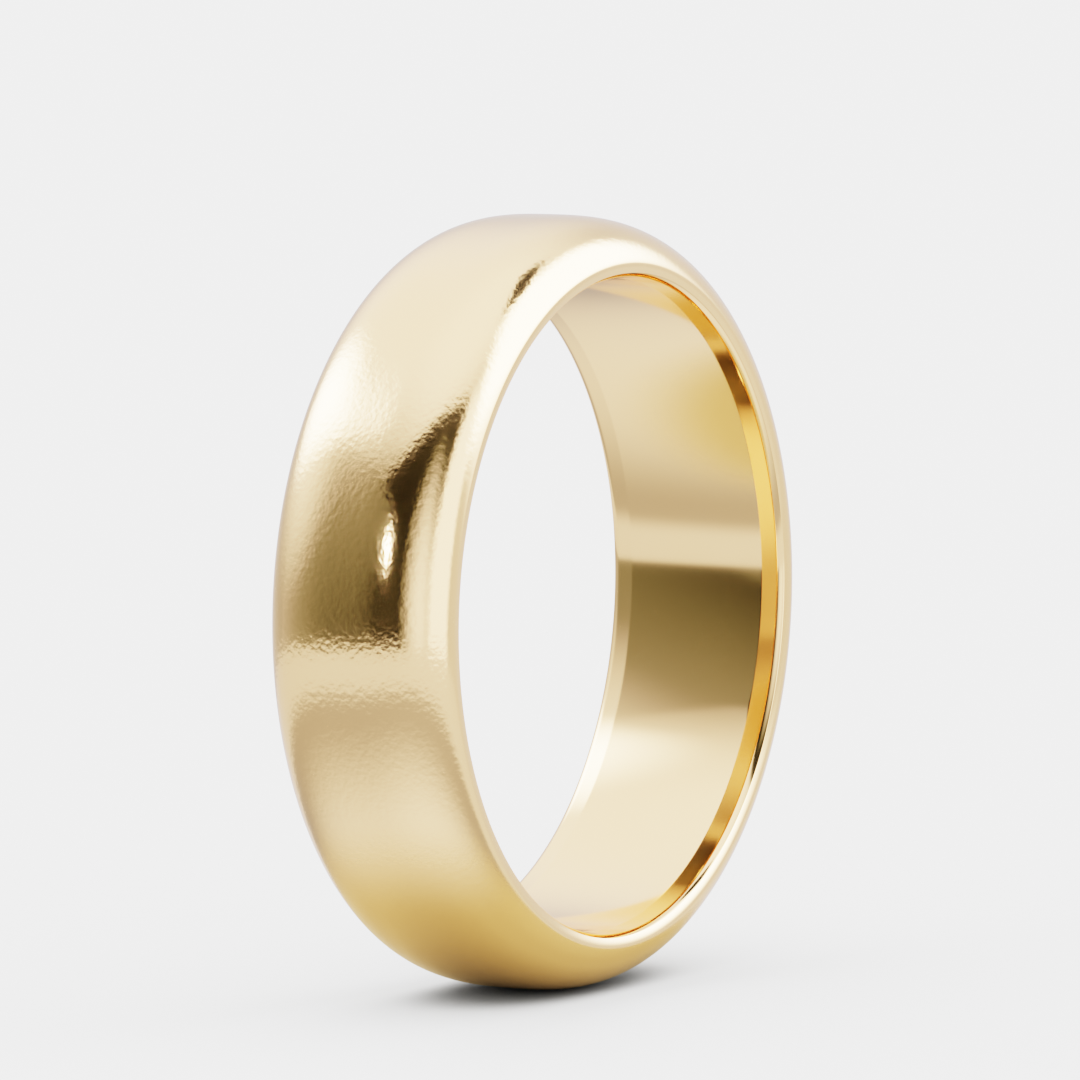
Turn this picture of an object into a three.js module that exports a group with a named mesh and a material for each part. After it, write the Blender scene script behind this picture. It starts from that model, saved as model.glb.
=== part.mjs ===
// A plain wedding band in yellow gold, one seamless piece of metal.
// Millimetres. The finger goes through along Y, +Z is up, and the origin is the centre of the bore.
import * as THREE from "three";

// The sizes a jeweller would order or turn the band to.
const boreDiameter = 19.2; // narrowest part of the finger hole
const bandWidth = 6.0; // along the finger, over the two flat side lands
const crownThickness = 1.9; // metal between the bore and the top of the dome
const mouthLength = 1.0; // stretch at each end of the bore that opens out for comfort
const mouthRise = 0.17; // how far the bore has opened where it meets the side
const edgeBreak = 0.05; // small chamfer that takes the corner off each mouth
const sideLand = 0.25; // flat ring polished on each side, from the chamfer to the dome
const crownFullness = 3.25; // 2 is a plain ellipse across the width, more is flatter on top
const shoulderFullness = 1.59; // 2 is a plain ellipse up the shoulder, less is more sloped

// How finely the curves are cut into straight steps.
const stepsAround = 80;
const stepsOverDome = 20;
const stepsInMouth = 3;

const boreRadius = boreDiameter / 2;
const outerRadius = boreRadius + crownThickness;
const halfWidth = bandWidth / 2;
const mouthRadius = boreRadius + mouthRise;
const landInnerRadius = mouthRadius + edgeBreak;
const landOuterRadius = landInnerRadius + sideLand;
const mouthEnd = halfWidth - edgeBreak;

// The outer dome, from the side land at -Y over the crown to the side land at +Y.
function domePoints() {
  const points = [];
  for (let step = 0; step <= stepsOverDome; step += 1) {
    const angle = Math.PI * (step / stepsOverDome - 0.5);
    const across = Math.abs(Math.sin(angle)) ** (2 / crownFullness);
    const rise = Math.max(Math.cos(angle), 0) ** (2 / shoulderFullness);
    const radius = landOuterRadius + (outerRadius - landOuterRadius) * rise;
    points.push(new THREE.Vector2(radius, Math.sign(angle) * across * halfWidth));
  }
  return points;
}

// One mouth of the bore: a round arc that leaves the straight bore and opens to the mouth radius.
// side is 1 for the +Y mouth and -1 for the -Y mouth. The points run from the mouth's end inwards.
function mouthPoints(side) {
  const arcRadius = (mouthLength ** 2 + mouthRise ** 2) / (2 * mouthRise);
  const arcAngle = Math.asin(mouthLength / arcRadius);
  const arcStart = mouthEnd - mouthLength;
  const points = [];
  for (let step = stepsInMouth; step >= 0; step -= 1) {
    const angle = (arcAngle * step) / stepsInMouth;
    const radius = boreRadius + arcRadius * (1 - Math.cos(angle));
    const along = arcStart + arcRadius * Math.sin(angle);
    points.push(new THREE.Vector2(radius, side * along));
  }
  return points;
}

// The whole section of the band as one closed outline, radius across and Y up.
function sectionOutline() {
  const outline = [
    ...domePoints(),
    new THREE.Vector2(landInnerRadius, halfWidth),
    ...mouthPoints(1),
    ...mouthPoints(-1).reverse(),
    new THREE.Vector2(landInnerRadius, -halfWidth),
  ];
  outline.push(outline[0].clone());
  return outline;
}

// The band's section swept once round the finger, with a flat facet at the lowest point.
function makeBand() {
  const halfFacet = Math.PI / stepsAround;
  const geometry = new THREE.LatheGeometry(sectionOutline(), stepsAround, halfFacet);
  const yellowGold = new THREE.MeshStandardMaterial({
    color: 0xe3c48a,
    roughness: 0.2,
    metalness: 1.0,
  });
  const band = new THREE.Mesh(geometry, yellowGold);
  band.name = "band";
  return band;
}

const weddingBand = new THREE.Group();
weddingBand.add(makeBand());

export default weddingBand;
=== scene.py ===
import math

import bpy
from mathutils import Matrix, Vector


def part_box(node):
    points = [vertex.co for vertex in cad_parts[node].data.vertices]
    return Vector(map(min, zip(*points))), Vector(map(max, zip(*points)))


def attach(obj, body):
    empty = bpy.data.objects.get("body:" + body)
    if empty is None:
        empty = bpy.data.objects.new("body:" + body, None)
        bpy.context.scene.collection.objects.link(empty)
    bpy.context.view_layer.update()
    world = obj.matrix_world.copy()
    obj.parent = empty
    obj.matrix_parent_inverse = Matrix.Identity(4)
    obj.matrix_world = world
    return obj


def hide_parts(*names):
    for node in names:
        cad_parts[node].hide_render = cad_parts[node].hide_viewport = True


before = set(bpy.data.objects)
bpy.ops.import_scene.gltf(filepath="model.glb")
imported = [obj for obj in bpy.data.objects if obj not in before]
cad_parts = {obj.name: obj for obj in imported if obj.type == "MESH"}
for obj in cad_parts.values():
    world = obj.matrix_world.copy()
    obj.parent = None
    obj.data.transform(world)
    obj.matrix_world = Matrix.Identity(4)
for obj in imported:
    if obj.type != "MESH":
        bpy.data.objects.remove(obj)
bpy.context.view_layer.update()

mm = 0.001


# small helpers that the pieces below share

def directionTo(azimuth, elevation):
    # azimuth 0 is +Y and 90 is +X, both angles in degrees
    a = math.radians(azimuth)
    e = math.radians(elevation)
    return Vector((math.sin(a) * math.cos(e), math.cos(a) * math.cos(e), math.sin(e)))


def newMaterial(name):
    material = bpy.data.materials.new(name)
    material.use_nodes = True
    tree = material.node_tree
    tree.nodes.clear()
    output = tree.nodes.new("ShaderNodeOutputMaterial")
    return material, tree, output


def mathNode(tree, operation, first, second=None, third=None, clamp=False):
    node = tree.nodes.new("ShaderNodeMath")
    node.operation = operation
    node.use_clamp = clamp
    for index, value in enumerate((first, second, third)):
        if value is None:
            continue
        if isinstance(value, (int, float)):
            node.inputs[index].default_value = value
        else:
            tree.links.new(value, node.inputs[index])
    return node.outputs[0]


def rangeNode(tree, value, fromLow, fromHigh, toLow, toHigh, smooth=True):
    node = tree.nodes.new("ShaderNodeMapRange")
    node.interpolation_type = "SMOOTHSTEP" if smooth else "LINEAR"
    node.inputs["From Min"].default_value = fromLow
    node.inputs["From Max"].default_value = fromHigh
    node.inputs["To Min"].default_value = toLow
    node.inputs["To Max"].default_value = toHigh
    tree.links.new(value, node.inputs["Value"])
    return node.outputs["Result"]


def mixShaders(tree, factor, first, second):
    node = tree.nodes.new("ShaderNodeMixShader")
    tree.links.new(factor, node.inputs["Fac"])
    tree.links.new(first.outputs[0], node.inputs[1])
    tree.links.new(second.outputs[0], node.inputs[2])
    return node


# the band: one closed outline, turned round the finger's axis

bandShape = {
    "boreCurve": 0.045 * mm,       # how far the bore has widened where the mouth starts
    "mouthLength": 0.74 * mm,      # how far in from the side the bore starts to open
    "mouthTaper": 7.8,             # degrees the opening leans out
    "bevelLength": 0.23 * mm,      # rounded bevel at the very mouth
    "bevelStart": 15,              # degrees it leans out where it leaves the opening
    "bevelEnd": 42,                # and at the edge
    "bendSize": 0.03 * mm,         # how softly the bore, the opening and the bevel meet
    "bendGuard": 0.1,              # a point this part of the way along each straight keeps it straight
    "edgeSize": 0.012 * mm,        # rounding of the edge between bevel and side
    "sideWidth": 0.30 * mm,        # side of the band, from the dome in to the edge
    "sideDrop": 0.045 * mm,        # how far the side has rolled in at the edge
    "crownFullness": 3.25,         # 2 is a plain ellipse across the width
    "shoulderFullness": 1.59,      # 2 is a plain ellipse up the shoulder
    "stepsOverDome": 72,
    "stepsOnSide": 6,
    "stepsOnBevel": 5,
    "stepsInBend": 3,
    "stepsAcrossBore": 10,
    "stepsAround": 600,
}

bandLow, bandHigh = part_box("band")
halfWidth = (bandHigh.y - bandLow.y) / 2
outerRadius = (bandHigh.z - bandLow.z) / 2
cadPoints = [v.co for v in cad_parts["band"].data.vertices]
boreRadius = min(math.hypot(p.x, p.z) for p in cadPoints)


def superPower(value, exponent):
    return math.copysign(abs(value) ** exponent, value)


def domeOutline(shape, domeEnd):
    # radius and place across the width, from the -Y side over the crown to the +Y side
    points = []
    steps = shape["stepsOverDome"]
    for step in range(steps + 1):
        angle = math.pi * (step / steps - 0.5)
        across = superPower(math.sin(angle), 2 / shape["crownFullness"]) * halfWidth
        rise = max(math.cos(angle), 0) ** (2 / shape["shoulderFullness"])
        points.append((domeEnd + (outerRadius - domeEnd) * rise, across))
    return points


def bend(corner, before, after, size, shape):
    # rounds one corner of the outline off, with a point just before and after it on the straights
    start = corner + (before - corner).normalized() * size
    end = corner + (after - corner).normalized() * size
    steps = shape["stepsInBend"]
    points = [start.lerp(before, shape["bendGuard"])]
    for step in range(steps + 1):
        t = step / steps
        points.append(start.lerp(corner, t).lerp(corner.lerp(end, t), t))
    points.append(end.lerp(after, shape["bendGuard"]))
    return points


def mouthOutline(shape):
    # from the dome in over the side, round the edge, down the bevel and the opening,
    # and half way across the bore
    edgeAcross = halfWidth - shape["sideDrop"]
    bevelAcross = halfWidth - shape["bevelLength"]
    mouthAcross = halfWidth - shape["mouthLength"]
    mouthRadius = boreRadius + shape["boreCurve"]
    mouthSlope = math.tan(math.radians(shape["mouthTaper"]))
    bevelRadius = mouthRadius + (bevelAcross - mouthAcross) * mouthSlope
    startSlope = math.tan(math.radians(shape["bevelStart"]))
    endSlope = math.tan(math.radians(shape["bevelEnd"]))
    bevelDepth = edgeAcross - bevelAcross
    bevel = []
    for step in range(shape["stepsOnBevel"] + 1):
        t = step / shape["stepsOnBevel"]
        slope = startSlope + (endSlope - startSlope) * t / 2
        bevel.append(Vector((bevelRadius + bevelDepth * t * slope, bevelAcross + bevelDepth * t)))
    domeEnd = bevel[-1].x + shape["sideWidth"]
    side = []
    for step in range(1, shape["stepsOnSide"]):
        t = step / shape["stepsOnSide"]
        sideAcross = halfWidth - shape["sideDrop"] * t ** 2
        side.append(Vector((domeEnd - shape["sideWidth"] * t, sideAcross)))
    bore = []
    for step in range(shape["stepsAcrossBore"]):
        t = 1 - step / shape["stepsAcrossBore"]
        bore.append(Vector((boreRadius + shape["boreCurve"] * t ** 2, mouthAcross * t)))
    points = side + bend(bevel[-1], side[-1], bevel[-2], shape["edgeSize"], shape)
    points += reversed(bevel[1:-1])
    points += bend(bevel[0], bevel[1], bore[0], shape["bendSize"], shape)
    points += bend(bore[0], bevel[0], bore[1], shape["bendSize"], shape)
    points += bore[1:]
    return [tuple(p) for p in points], domeEnd


def sectionOutline(shape):
    farSide, domeEnd = mouthOutline(shape)
    nearSide = [(radius, -across) for radius, across in reversed(farSide)]
    return domeOutline(shape, domeEnd) + farSide + [(boreRadius, 0)] + nearSide


def makeBand(shape):
    outline = sectionOutline(shape)
    count = len(outline)
    turns = shape["stepsAround"]
    points = []
    for turn in range(turns):
        angle = 2 * math.pi * turn / turns
        for radius, across in outline:
            points.append((radius * math.sin(angle), across, radius * math.cos(angle)))
    faces = []
    for turn in range(turns):
        here = turn * count
        there = ((turn + 1) % turns) * count
        for i in range(count):
            j = (i + 1) % count
            faces.append((here + i, here + j, there + j, there + i))
    mesh = bpy.data.meshes.new("goldBand")
    mesh.from_pydata(points, [], faces)
    mesh.polygons.foreach_set("use_smooth", [True] * len(faces))
    mesh.update()
    band = bpy.data.objects.new("goldBand", mesh)
    bpy.context.scene.collection.objects.link(band)
    return band


# yellow gold: polished, with a fine ripple that fades in over the dome

goldFinish = {
    "color": (0.95, 0.60, 0.28, 1),
    "paleColor": (0.95, 0.615, 0.295, 1),
    "shadeColor": (0.3, 0.3, 0.3, 1),   # what the floor meets instead of bright gold
    "patchSize": 3.0 * mm,         # soft patches between the two golds
    "patchDetail": 2,
    "boreRoughness": 0.10,
    "domeRoughness": 0.13,
    "rippleSize": 0.18 * mm,       # grain of the ripple that casting leaves on the dome
    "rippleDetail": 1.5,
    "rippleHeight": 0.0065 * mm,
    "rippleFrom": 10.1 * mm,       # radius where the ripple starts
    "rippleFull": 10.7 * mm,       # radius where it is full
}


def yellowGold(finish):
    material, tree, output = newMaterial("yellowGold")
    nodes = tree.nodes
    links = tree.links
    shader = nodes.new("ShaderNodeBsdfPrincipled")
    shader.inputs["Metallic"].default_value = 1.0
    # the floor meets the band as plain grey, so that no gold light spoils its shadow
    shade = nodes.new("ShaderNodeBsdfDiffuse")
    shade.inputs["Color"].default_value = finish["shadeColor"]
    lookedAtBy = nodes.new("ShaderNodeLightPath").outputs
    mix = mixShaders(tree, lookedAtBy["Is Diffuse Ray"], shader, shade)
    links.new(mix.outputs[0], output.inputs["Surface"])
    place = nodes.new("ShaderNodeTexCoord").outputs["Object"]
    parts = nodes.new("ShaderNodeSeparateXYZ")
    links.new(place, parts.inputs[0])
    squareX = mathNode(tree, "MULTIPLY", parts.outputs["X"], parts.outputs["X"])
    squareZ = mathNode(tree, "MULTIPLY", parts.outputs["Z"], parts.outputs["Z"])
    radius = mathNode(tree, "SQRT", mathNode(tree, "ADD", squareX, squareZ))
    onDome = rangeNode(tree, radius, finish["rippleFrom"], finish["rippleFull"], 0, 1)

    patches = nodes.new("ShaderNodeTexNoise")
    patches.inputs["Scale"].default_value = 1 / finish["patchSize"]
    patches.inputs["Detail"].default_value = finish["patchDetail"]
    links.new(place, patches.inputs["Vector"])
    golds = nodes.new("ShaderNodeMix")
    golds.data_type = "RGBA"
    golds.inputs["A"].default_value = finish["color"]
    golds.inputs["B"].default_value = finish["paleColor"]
    links.new(patches.outputs["Fac"], golds.inputs["Factor"])
    links.new(golds.outputs["Result"], shader.inputs["Base Color"])

    ripple = nodes.new("ShaderNodeTexNoise")
    ripple.inputs["Scale"].default_value = 1 / finish["rippleSize"]
    ripple.inputs["Detail"].default_value = finish["rippleDetail"]
    links.new(place, ripple.inputs["Vector"])
    height = mathNode(tree, "MULTIPLY", ripple.outputs["Fac"], onDome)
    bump = nodes.new("ShaderNodeBump")
    bump.inputs["Strength"].default_value = 1.0
    bump.inputs["Distance"].default_value = finish["rippleHeight"]
    links.new(height, bump.inputs["Height"])
    links.new(bump.outputs["Normal"], shader.inputs["Normal"])

    rough = rangeNode(tree, onDome, 0, 1, finish["boreRoughness"], finish["domeRoughness"], False)
    links.new(rough, shader.inputs["Roughness"])
    return material


band = makeBand(bandShape)
band.data.materials.append(yellowGold(goldFinish))
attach(band, "root")
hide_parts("band")
print("band made,", len(band.data.polygons), "faces")


# the floor that the band stands on

floorLook = {
    "size": 2.0,
    "seenColor": (0.78, 0.78, 0.78, 1),
    "contactReach": 3 * mm,        # painted shade: the floor's colour is darkened once more where the band comes this close
    "contactShade": 0.35,
    "contactClosed": 0.1,          # share of open room round a point where that shade is full
    "contactOpen": 0.5,            # and where it is gone
    # painted shade and painted warm bounce light: the floor the band mirrors is a darker, gold-tinted
    # copy of the seen floor
    "mirroredShadeAndBounceColor": (0.44, 0.37, 0.25, 1),
    "mirroredFull": 7 * mm,        # how far out the band mirrors the floor itself
    "mirroredEnd": 14 * mm,        # from here on it mirrors the studio's ground
    "drop": 0.02 * mm,             # the mirrored floor lies this far under the seen one
}


def makeSheet(name, halfSize, height):
    mesh = bpy.data.meshes.new(name)
    corners = [(-halfSize, -halfSize, height), (halfSize, -halfSize, height)]
    corners += [(halfSize, halfSize, height), (-halfSize, halfSize, height)]
    mesh.from_pydata(corners, [], [(0, 1, 2, 3)])
    mesh.update()
    sheet = bpy.data.objects.new(name, mesh)
    bpy.context.scene.collection.objects.link(sheet)
    return sheet


def paperMaterial(name, color):
    material, tree, output = newMaterial(name)
    paper = tree.nodes.new("ShaderNodeBsdfDiffuse")
    paper.inputs["Color"].default_value = color
    tree.links.new(paper.outputs[0], output.inputs["Surface"])
    return material, tree, output, paper


def fadeOut(tree, output, paper, full, end):
    # solid up to full, gone from end outwards
    place = tree.nodes.new("ShaderNodeTexCoord").outputs["Object"]
    flat = tree.nodes.new("ShaderNodeVectorMath")
    flat.operation = "MULTIPLY"
    flat.inputs[1].default_value = (1, 1, 0)
    tree.links.new(place, flat.inputs[0])
    away = tree.nodes.new("ShaderNodeVectorMath")
    away.operation = "LENGTH"
    tree.links.new(flat.outputs["Vector"], away.inputs[0])
    gone = rangeNode(tree, away.outputs["Value"], full, end, 0, 1)
    clear = tree.nodes.new("ShaderNodeBsdfTransparent")
    mix = mixShaders(tree, gone, paper, clear)
    tree.links.new(mix.outputs[0], output.inputs["Surface"])


# painted contact shadow: darkens the floor's own colour where the band closes in round a point, on top
# of the real shadow from the light
def contactShadow(tree, paper, look):
    room = tree.nodes.new("ShaderNodeAmbientOcclusion")
    room.inputs["Distance"].default_value = look["contactReach"]
    closed = look["contactClosed"]
    shade = rangeNode(tree, room.outputs["AO"], closed, look["contactOpen"], look["contactShade"], 1)
    color = tree.nodes.new("ShaderNodeVectorMath")
    color.operation = "SCALE"
    color.inputs[0].default_value = look["seenColor"][:3]
    tree.links.new(shade, color.inputs["Scale"])
    tree.links.new(color.outputs["Vector"], paper.inputs["Color"])


def layFloor(look):
    # the floor that is seen, and under it the patch of floor that the band mirrors, with painted shade
    # and painted gold bounce light in its colour
    floorHeight = -outerRadius
    seenFloor = makeSheet("seenFloor", look["size"], floorHeight)
    material, tree, output, paper = paperMaterial("seenFloor", look["seenColor"])
    contactShadow(tree, paper, look)
    seenFloor.data.materials.append(material)
    seenFloor.visible_glossy = False
    seenFloor.visible_shadow = False
    seenFloor.visible_diffuse = False
    mirroredFloor = makeSheet("mirroredFloor", look["mirroredEnd"], floorHeight - look["drop"])
    # painted shade and painted gold bounce light: the mirrored patch is a darker, warmer copy of the
    # same floor
    material, tree, output, paper = paperMaterial("mirroredFloor", look["mirroredShadeAndBounceColor"])
    fadeOut(tree, output, paper, look["mirroredFull"], look["mirroredEnd"])
    mirroredFloor.data.materials.append(material)
    mirroredFloor.visible_camera = False
    mirroredFloor.visible_shadow = False


layFloor(floorLook)
print("floor laid")


# the studio: soft walls all round, with lit panels and dark cards

studioWalls = {
    "zenith": 2.4,
    "zenithFrom": 0.5,             # height where the walls start to turn into the zenith
    "farWall": 0.5,
    "nearWall": 1.1,
    "nearAzimuth": 120,             # the wall that is brightest
    "groundDeep": 1.65,            # straight down
    "groundLow": 0.60,             # further out
    "deepHeight": -0.93,
    "lowHeight": -0.45,
    "groundBand": 1.28,            # pale strip of ground just under the horizon
    "bandHeight": -0.355,
    "bandSoftness": 0.05,
    "horizonHeight": -0.153,
    "horizonSoftness": 0.01,
    "groundTilt": 0.11,            # how much brighter the ground is towards groundAzimuth
    "groundAzimuth": -130,
    "darkTint": (1.0, 1.08, 0.82, 1),
    "brightTint": (1.0, 0.98, 1.05, 1),
    "darkBelow": 0.05,             # light that takes the whole dark tint
    "brightAbove": 0.6,            # light that takes the whole bright tint
    "backdrop": (2.08, 2.08, 2.08, 1),
    "floorLight": 2.66,            # even light that the floor stands in
}

# centre and size in degrees as seen from the band, light is how bright the card is,
# fall is how much of that light it gains from its left to its right, corner is 2 for
# an oval and more for a squarer card, edge is how soft its rim is
studioCards = [
    {"name": "doorway", "azimuth": -115, "elevation": 22, "width": 106, "height": 66,
     "turn": -6, "lean": -0.10, "corner": 7, "edge": 0.09, "light": 0.04, "fall": -0.7},
    {"name": "doorwayGlow", "azimuth": -128, "elevation": 1, "width": 38, "height": 60,
     "turn": 14, "lean": -0.23, "corner": 1.7, "edge": 0.95, "light": 2.0, "fall": 0.0},
    {"name": "leftGlow", "azimuth": -169, "elevation": 5, "width": 47, "height": 76,
     "turn": 9, "lean": 0.18, "corner": 1.6, "edge": 0.3, "light": 2.8, "fall": 0.0},
    {"name": "sideFlag", "azimuth": -80, "elevation": -2, "width": 26, "height": 46,
     "turn": 4, "lean": 0.06, "corner": 4, "edge": 0.4, "light": 0.06, "fall": 0.0},
    {"name": "greyWall", "azimuth": -41, "elevation": 9, "width": 58, "height": 60,
     "turn": 12, "lean": 0.2, "corner": 9, "edge": 0.04, "light": 0.38, "fall": 0.8},
    {"name": "lamp", "azimuth": -77.5, "elevation": 18, "width": 4, "height": 10,
     "turn": -13, "lean": 0.0, "corner": 1.8, "edge": 0.3, "light": 24, "fall": 0.0},
    {"name": "softboxHalo", "azimuth": 9, "elevation": 41, "width": 66, "height": 66,
     "turn": -20, "lean": -0.64, "corner": 2.1, "edge": 0.85, "light": 2.2, "fall": 0.0},
    {"name": "softboxBack", "azimuth": -4, "elevation": 35, "width": 46, "height": 20,
     "turn": -29, "lean": 0.18, "corner": 1.6, "edge": 0.8, "light": 11, "fall": 0.0},
    {"name": "softboxRight", "azimuth": 135, "elevation": 30, "width": 58, "height": 47,
     "turn": 30, "lean": 0.0, "corner": 3, "edge": 0.34, "light": 10, "fall": 0.0},
    {"name": "topBar", "azimuth": 127, "elevation": 63, "width": 21, "height": 11,
     "turn": -3, "lean": -0.23, "corner": 4, "edge": 0.27, "light": 0.03, "fall": 0.0},
]


def cardGroup():
    # one card: shows its own light where the looking direction meets it, else what is behind it
    group = bpy.data.node_groups.new("studioCard", "ShaderNodeTree")
    face = group.interface
    face.new_socket("Behind", in_out="INPUT", socket_type="NodeSocketFloat")
    for name in ("Direction", "Facing", "Across", "Up"):
        face.new_socket(name, in_out="INPUT", socket_type="NodeSocketVector")
    for name in ("Lean", "Corner", "Edge", "Light", "Fall"):
        face.new_socket(name, in_out="INPUT", socket_type="NodeSocketFloat")
    face.new_socket("Result", in_out="OUTPUT", socket_type="NodeSocketFloat")
    start = group.nodes.new("NodeGroupInput")
    end = group.nodes.new("NodeGroupOutput")

    def along(axis):
        node = group.nodes.new("ShaderNodeVectorMath")
        node.operation = "DOT_PRODUCT"
        group.links.new(start.outputs["Direction"], node.inputs[0])
        group.links.new(start.outputs[axis], node.inputs[1])
        return node.outputs["Value"]

    ahead = along("Facing")
    inFront = mathNode(group, "GREATER_THAN", ahead, 0.05)
    upward = mathNode(group, "DIVIDE", along("Up"), ahead)
    straight = mathNode(group, "DIVIDE", along("Across"), ahead)
    sideways = mathNode(group, "MULTIPLY_ADD", upward, start.outputs["Lean"], straight)
    sizes = []
    for value in (sideways, upward):
        size = mathNode(group, "ABSOLUTE", value)
        sizes.append(mathNode(group, "POWER", size, start.outputs["Corner"]))
    total = mathNode(group, "ADD", sizes[0], sizes[1])
    oneOver = mathNode(group, "DIVIDE", 1.0, start.outputs["Corner"])
    distance = mathNode(group, "POWER", total, oneOver)
    fade = group.nodes.new("ShaderNodeMapRange")
    fade.interpolation_type = "SMOOTHSTEP"
    group.links.new(distance, fade.inputs["Value"])
    inner = mathNode(group, "SUBTRACT", 1.0, start.outputs["Edge"])
    outer = mathNode(group, "ADD", 1.0, start.outputs["Edge"])
    group.links.new(inner, fade.inputs["From Min"])
    group.links.new(outer, fade.inputs["From Max"])
    fade.inputs["To Min"].default_value = 1
    fade.inputs["To Max"].default_value = 0
    cover = mathNode(group, "MULTIPLY", fade.outputs["Result"], inFront)
    blend = group.nodes.new("ShaderNodeMix")
    group.links.new(cover, blend.inputs["Factor"])
    group.links.new(start.outputs["Behind"], blend.inputs["A"])
    slant = mathNode(group, "MULTIPLY_ADD", sideways, start.outputs["Fall"], 1.0)
    shown = mathNode(group, "MULTIPLY", start.outputs["Light"], slant)
    group.links.new(shown, blend.inputs["B"])
    group.links.new(blend.outputs["Result"], end.inputs["Result"])
    return group


def placeCard(tree, group, direction, behind, card):
    facing = directionTo(card["azimuth"], card["elevation"])
    across = Vector((facing.y, -facing.x, 0)).normalized()
    up = across.cross(facing)
    turn = math.radians(card["turn"])
    turnedAcross = across * math.cos(turn) + up * math.sin(turn)
    turnedUp = up * math.cos(turn) - across * math.sin(turn)
    node = tree.nodes.new("ShaderNodeGroup")
    node.node_tree = group
    node.label = card["name"]
    node.inputs["Facing"].default_value = facing
    node.inputs["Across"].default_value = turnedAcross / math.tan(math.radians(card["width"] / 2))
    node.inputs["Up"].default_value = turnedUp / math.tan(math.radians(card["height"] / 2))
    node.inputs["Lean"].default_value = card["lean"]
    node.inputs["Corner"].default_value = card["corner"]
    node.inputs["Edge"].default_value = card["edge"]
    node.inputs["Light"].default_value = card["light"]
    node.inputs["Fall"].default_value = card["fall"]
    tree.links.new(direction, node.inputs["Direction"])
    tree.links.new(behind, node.inputs["Behind"])
    return node.outputs["Result"]


def mixNode(tree, factor, first, second):
    node = tree.nodes.new("ShaderNodeMix")
    for name, value in (("Factor", factor), ("A", first), ("B", second)):
        if isinstance(value, (int, float)):
            node.inputs[name].default_value = value
        else:
            tree.links.new(value, node.inputs[name])
    return node.outputs["Result"]


def towards(tree, direction, azimuth):
    node = tree.nodes.new("ShaderNodeVectorMath")
    node.operation = "DOT_PRODUCT"
    node.inputs[1].default_value = directionTo(azimuth, 0)
    tree.links.new(direction, node.inputs[0])
    return node.outputs["Value"]


def groundLight(tree, walls, direction, height):
    deepHeight = walls["deepHeight"]
    lowHeight = walls["lowHeight"]
    deep = rangeNode(tree, height, deepHeight, lowHeight, walls["groundDeep"], walls["groundLow"])
    bandStart = walls["bandHeight"] - walls["bandSoftness"]
    bandFull = walls["bandHeight"] + walls["bandSoftness"]
    inBand = rangeNode(tree, height, bandStart, bandFull, 0, 1)
    banded = mixNode(tree, inBand, deep, walls["groundBand"])
    tilted = towards(tree, direction, walls["groundAzimuth"])
    tilt = mathNode(tree, "MULTIPLY_ADD", tilted, walls["groundTilt"], 1.0)
    return mathNode(tree, "MULTIPLY", banded, tilt)


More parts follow.
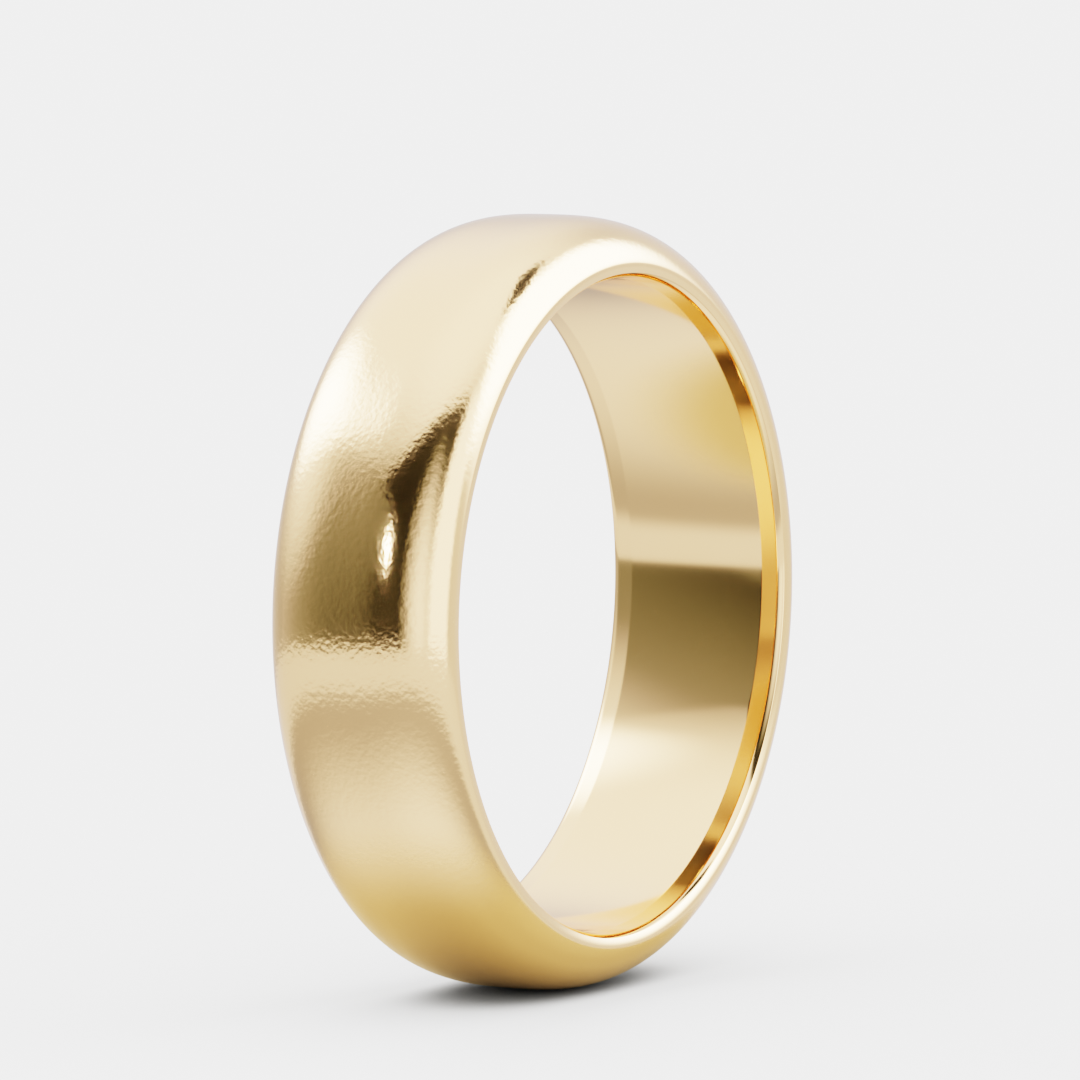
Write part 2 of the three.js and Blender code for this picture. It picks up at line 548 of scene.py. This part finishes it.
def makeStudio(walls, cards):
    world = bpy.data.worlds.new("studio")
    bpy.context.scene.world = world
    world.use_nodes = True
    tree = world.node_tree
    tree.nodes.clear()
    output = tree.nodes.new("ShaderNodeOutputWorld")
    direction = tree.nodes.new("ShaderNodeTexCoord").outputs["Generated"]
    parts = tree.nodes.new("ShaderNodeSeparateXYZ")
    tree.links.new(direction, parts.inputs[0])
    height = parts.outputs["Z"]

    nearness = towards(tree, direction, walls["nearAzimuth"])
    light = rangeNode(tree, nearness, -1, 1, walls["farWall"], walls["nearWall"])
    overhead = rangeNode(tree, height, walls["zenithFrom"], 1, 0, 1)
    light = mixNode(tree, overhead, light, walls["zenith"])
    group = cardGroup()
    for card in cards:
        light = placeCard(tree, group, direction, light, card)
    groundEnd = walls["horizonHeight"] - walls["horizonSoftness"]
    wallStart = walls["horizonHeight"] + walls["horizonSoftness"]
    above = rangeNode(tree, height, groundEnd, wallStart, 0, 1)
    light = mixNode(tree, above, groundLight(tree, walls, direction, height), light)

    tint = tree.nodes.new("ShaderNodeMix")
    tint.data_type = "RGBA"
    tint.inputs["A"].default_value = walls["darkTint"]
    tint.inputs["B"].default_value = walls["brightTint"]
    brightness = rangeNode(tree, light, walls["darkBelow"], walls["brightAbove"], 0, 1)
    tree.links.new(brightness, tint.inputs["Factor"])
    shine = tree.nodes.new("ShaderNodeBackground")
    tree.links.new(tint.outputs["Result"], shine.inputs["Color"])
    tree.links.new(light, shine.inputs["Strength"])
    backdrop = tree.nodes.new("ShaderNodeBackground")
    backdrop.inputs["Color"].default_value = walls["backdrop"]
    even = tree.nodes.new("ShaderNodeBackground")
    even.inputs["Strength"].default_value = walls["floorLight"]
    even.inputs["Color"].default_value = (1, 1, 1, 1)
    # gold mirrors the cards, the floor stands in even light, and behind it all is the plain backdrop
    lookedAtBy = tree.nodes.new("ShaderNodeLightPath").outputs
    lights = mixShaders(tree, lookedAtBy["Is Diffuse Ray"], shine, even)
    mix = mixShaders(tree, lookedAtBy["Is Camera Ray"], lights, backdrop)
    tree.links.new(mix.outputs[0], output.inputs["Surface"])
    world.cycles.sampling_method = "NONE"
    return world


makeStudio(studioWalls, studioCards)
print("studio lit,", len(studioCards), "cards")


# the camera

cameraSetup = {
    "azimuth": -60.22,
    "elevation": 4.93,
    "distance": 257.1 * mm,
    "aimAbove": 1.82 * mm,
    "lens": 288.8,
    "sensor": 36.0,
}


def makeCamera(setup):
    a = math.radians(setup["azimuth"])
    e = math.radians(setup["elevation"])
    ahead = Vector((-math.sin(a) * math.cos(e), math.cos(a) * math.cos(e), -math.sin(e)))
    right = Vector((math.cos(a), math.sin(a), 0))
    up = right.cross(ahead)
    data = bpy.data.cameras.new("camera")
    data.lens = setup["lens"]
    data.sensor_width = setup["sensor"]
    data.clip_start = 0.01
    data.clip_end = 20
    camera = bpy.data.objects.new("camera", data)
    camera.location = up * setup["aimAbove"] - ahead * setup["distance"]
    camera.rotation_euler = ahead.to_track_quat("-Z", "Y").to_euler()
    bpy.context.scene.collection.objects.link(camera)
    bpy.context.scene.camera = camera
    return camera


makeCamera(cameraSetup)
view = bpy.context.scene.view_settings
view.view_transform = "Filmic"
view.look = "High Contrast"
print("camera placed")
